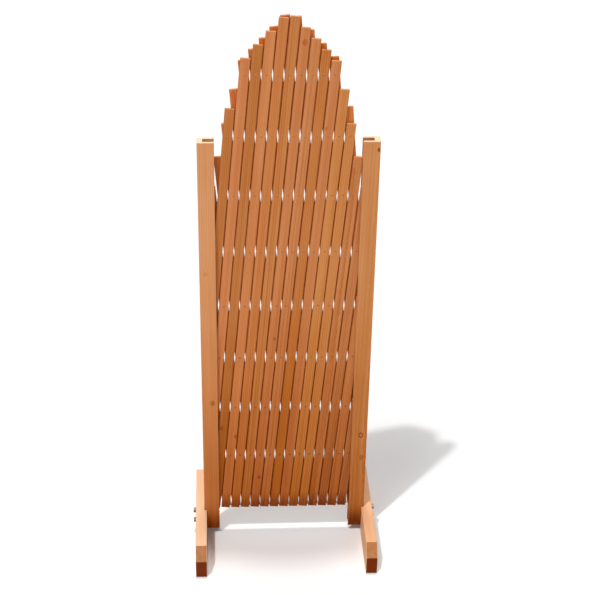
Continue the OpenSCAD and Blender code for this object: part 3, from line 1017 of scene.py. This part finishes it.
for side, number in (("left", LEFT_FOOT), ("right", RIGHT_FOOT)):
    foot = make_foot(side, number)
    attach(foot, side + "_side")
    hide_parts(side + "_foot")
    print(foot.name, len(foot.data.polygons), "faces")

# %% [markdown]
# ## The foot screws
# Two hexagon screws with a flange hold each foot to its post. The tree turns the flange and shank with many
# sides and the head with six, and stands the result on two points.

# %% The screw tree
SCREW = dict(shank_radius=0.003, shank_length=0.031, flange_radius=0.0065, flange_height=0.0012,
             head_width=0.010, head_height=0.004)
SCREWS_APART = 0.008             # two points further apart in height belong to two screws
FLANGE_RIM, FLANGE_SEAT = 0.5, 0.8       # share of the flange's height at its edge, and of its radius on top
CHAMFER_HEIGHT, CHAMFER_CROWN = 0.15, 0.86       # share of the head's height, and of its radius left on top


def screw_tree():
    """A screw whose head lies above its point, and whose shank goes down from it."""
    sizes = {size.replace("_", " ").capitalize(): float for size in SCREW}
    tree, given = new_tree("flanged screw", {"Turn": Vector, **sizes})
    rim = times(tree, given["Flange height"], FLANGE_RIM)
    tip = times(tree, given["Shank length"], -1.0)
    seat = times(tree, given["Flange radius"], FLANGE_SEAT)
    shaft = turned(tree, [(0.0, tip), (given["Shank radius"], tip), (given["Shank radius"], 0.0),
                          (given["Flange radius"], 0.0), (given["Flange radius"], rim),
                          (seat, given["Flange height"]), (0.0, given["Flange height"])], ROUND_SIDES)
    corner = times(tree, given["Head width"], 0.5 / math.cos(math.pi / HEXAGON))
    top = total(tree, given["Flange height"], given["Head height"])
    shoulder = minus(tree, top, times(tree, given["Head height"], CHAMFER_HEIGHT))
    crown = times(tree, corner, CHAMFER_CROWN)
    head = turned(tree, [(0.0, rim), (corner, rim), (corner, shoulder), (crown, top), (0.0, top)], HEXAGON)
    return end_tree(tree, stand_on_points(tree, given, join(tree, shaft, head)), given)


SCREW_TREE = screw_tree()
for side, sign in (("left", -1), ("right", 1)):
    node = side + "_foot_screws"
    low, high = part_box(side + "_foot")
    face = low.x if side == "left" else high.x
    screws = new_piece(node + "_metal", [(face, 0, place.z) for place in places_of(node, SCREWS_APART)])
    use_tree(screws, SCREW_TREE, turn=(0.0, math.radians(90) * sign, 0.0), finish=screw_finish, **SCREW)
    plain_mesh(screws)
    round_shading(screws)
    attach(screws, side + "_side")
    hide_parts(node)
    print(screws.name, len(screws.data.polygons), "faces")

# %% [markdown]
# ## The floor
# The floor is a wide sheet of white paper. It should look white round the screen and still take its shadow,
# so its colour and the lamps are set together: all the light that falls on it, times its colour, is just
# over 1.

# %% The floor
FLOOR_HALF = 14.0                # metres from its middle to an edge
FLOOR_WHITE = 0.8

floor_corners = [(FLOOR_HALF * x, FLOOR_HALF * y, 0) for x, y in ((-1, -1), (1, -1), (1, 1), (-1, 1))]
floor = new_piece("floor", floor_corners, [range(4)])
paper = bpy.data.materials.new("studio_floor")
paper.use_nodes = True
paper.node_tree.nodes.clear()
matt = add_node(paper.node_tree, "ShaderNodeBsdfDiffuse",
                {"Color": (FLOOR_WHITE, FLOOR_WHITE, FLOOR_WHITE, 1)})
add_node(paper.node_tree, "ShaderNodeOutputMaterial", {"Surface": matt.outputs[0]})
floor.data.materials.append(paper)
print("floor:", 2 * FLOOR_HALF, "metres wide")

# %% [markdown]
# ## Studio light
# The light in front and to the left throws a long shadow to the right and back, with a firm edge that still
# fades away from the feet. One lamp can't do both, so a small and a wide one share its direction. A lamp
# almost overhead lights the tops, and puts the narrow shade in front of the screen. A very wide, low one in
# front lights the laths evenly, without a shadow that the eye would notice, and another keeps the back from
# going grey. All are sun lamps, because their light is the same all over the screen. The world fills the
# rest, and is white where the camera sees it.

# %% Lamps and world
def soft_sun(name, towards, strength, softness):
    """A sun lamp that shines along a direction. Its softness is its width in the sky, in degrees."""
    lamp = bpy.data.lights.new(name, "SUN")
    lamp.energy, lamp.angle = strength, math.radians(softness)
    holder = bpy.data.objects.new(name, lamp)
    scene.collection.objects.link(holder)
    holder.rotation_euler = Vector(towards).to_track_quat("-Z", "Y").to_euler()


def seen_directly(tree):
    """1 for a ray from the camera, or one reflected or let through by a shiny or clear surface."""
    path = tree.nodes.new("ShaderNodeLightPath").outputs
    seen = math_node(tree, "MAXIMUM", path["Is Camera Ray"], path["Is Glossy Ray"])
    return math_node(tree, "MAXIMUM", seen, path["Is Transmission Ray"])


WORLD_FILL = 0.06
KEY_DIRECTION = (0.265, 0.31, -1.0)
soft_sun("small_key_lamp", KEY_DIRECTION, strength=1.45, softness=1.6)
soft_sun("wide_key_lamp", KEY_DIRECTION, strength=0.50, softness=12)
soft_sun("top_lamp", (0.0, -0.10, -1.0), strength=1.50, softness=5)
soft_sun("front_lamp", (0.10, 1.00, -0.35), strength=1.00, softness=90)
soft_sun("back_lamp", (0.10, -0.80, -0.45), strength=0.55, softness=80)
world = bpy.data.worlds.new("studio")
scene.world = world
world.use_nodes = True
world.node_tree.nodes.clear()
fill, white = [add_node(world.node_tree, "ShaderNodeBackground", {
    "Color": (1, 1, 1, 1), "Strength": strength}).outputs[0] for strength in (WORLD_FILL, 1.0)]
sky = add_node(world.node_tree, "ShaderNodeMixShader", {0: seen_directly(world.node_tree), 1: fill, 2: white})
add_node(world.node_tree, "ShaderNodeOutputWorld", {"Surface": sky.outputs[0]})
scene.view_settings.view_transform = "Standard"
